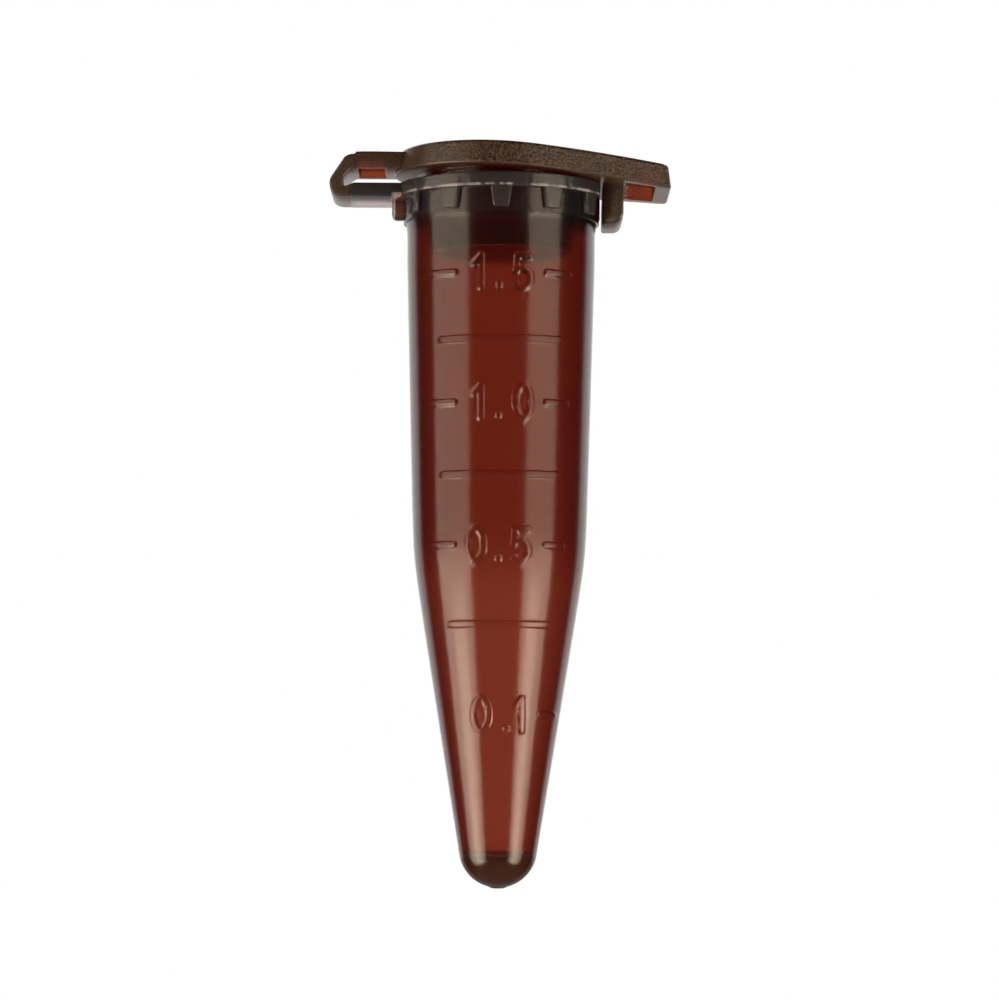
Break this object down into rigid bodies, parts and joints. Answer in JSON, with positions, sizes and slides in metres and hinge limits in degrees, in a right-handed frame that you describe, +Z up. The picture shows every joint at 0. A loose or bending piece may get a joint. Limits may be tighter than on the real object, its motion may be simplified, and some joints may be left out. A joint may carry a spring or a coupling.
{
  "type": "microcentrifuge tube",
  "caption": "Amber 1.5 ml snap-cap microcentrifuge tube: conical graduated barrel, lugged rim collar, and a lid with plug, latch and lift tab on a folding strap.",
  "frame": {"origin": "on the tube's axis, in the plane of the ledge under the rim collar, where the tube sits on a rack", "axes": "+Z up the tube's axis to the lid, +X towards the latch and lift tab, -Y the side that carries the scale"},
  "size_m": [0.0197, 0.0124, 0.0427],
  "materials": {
    "clear_amber": "see-through amber polypropylene, smooth satin moulded surface",
    "frosted_amber": "the same amber polypropylene with a fine spark-eroded texture"
  },
  "bodies": {
    "tube": {"tube_body": "clear_amber", "rim_collar": "clear_amber", "graduation_lines": "clear_amber", "strap_tube_leaf": "clear_amber"},
    "strap_link": {"strap_link": "clear_amber"},
    "lid": {"lid_plate": "frosted_amber", "lid_plug": "clear_amber", "lid_latch": "clear_amber", "strap_lid_leaf": "clear_amber"}
  },
  "joints": [
    {"name": "strap_lower_fold", "type": "hinge", "parent": "tube", "child": "strap_link", "pos_m": [-0.0095, 0, 0.00178], "axis": [0, -1, 0], "range_deg": [0, 115]},
    {"name": "strap_upper_fold", "type": "hinge", "parent": "strap_link", "child": "lid", "pos_m": [-0.00872, 0, 0.00345], "axis": [0, -1, 0], "range_deg": [0, 65]}
  ],
  "couplings": [
    {"joint": "strap_upper_fold", "follows": "strap_lower_fold", "ratio": 0.56522}
  ]
}
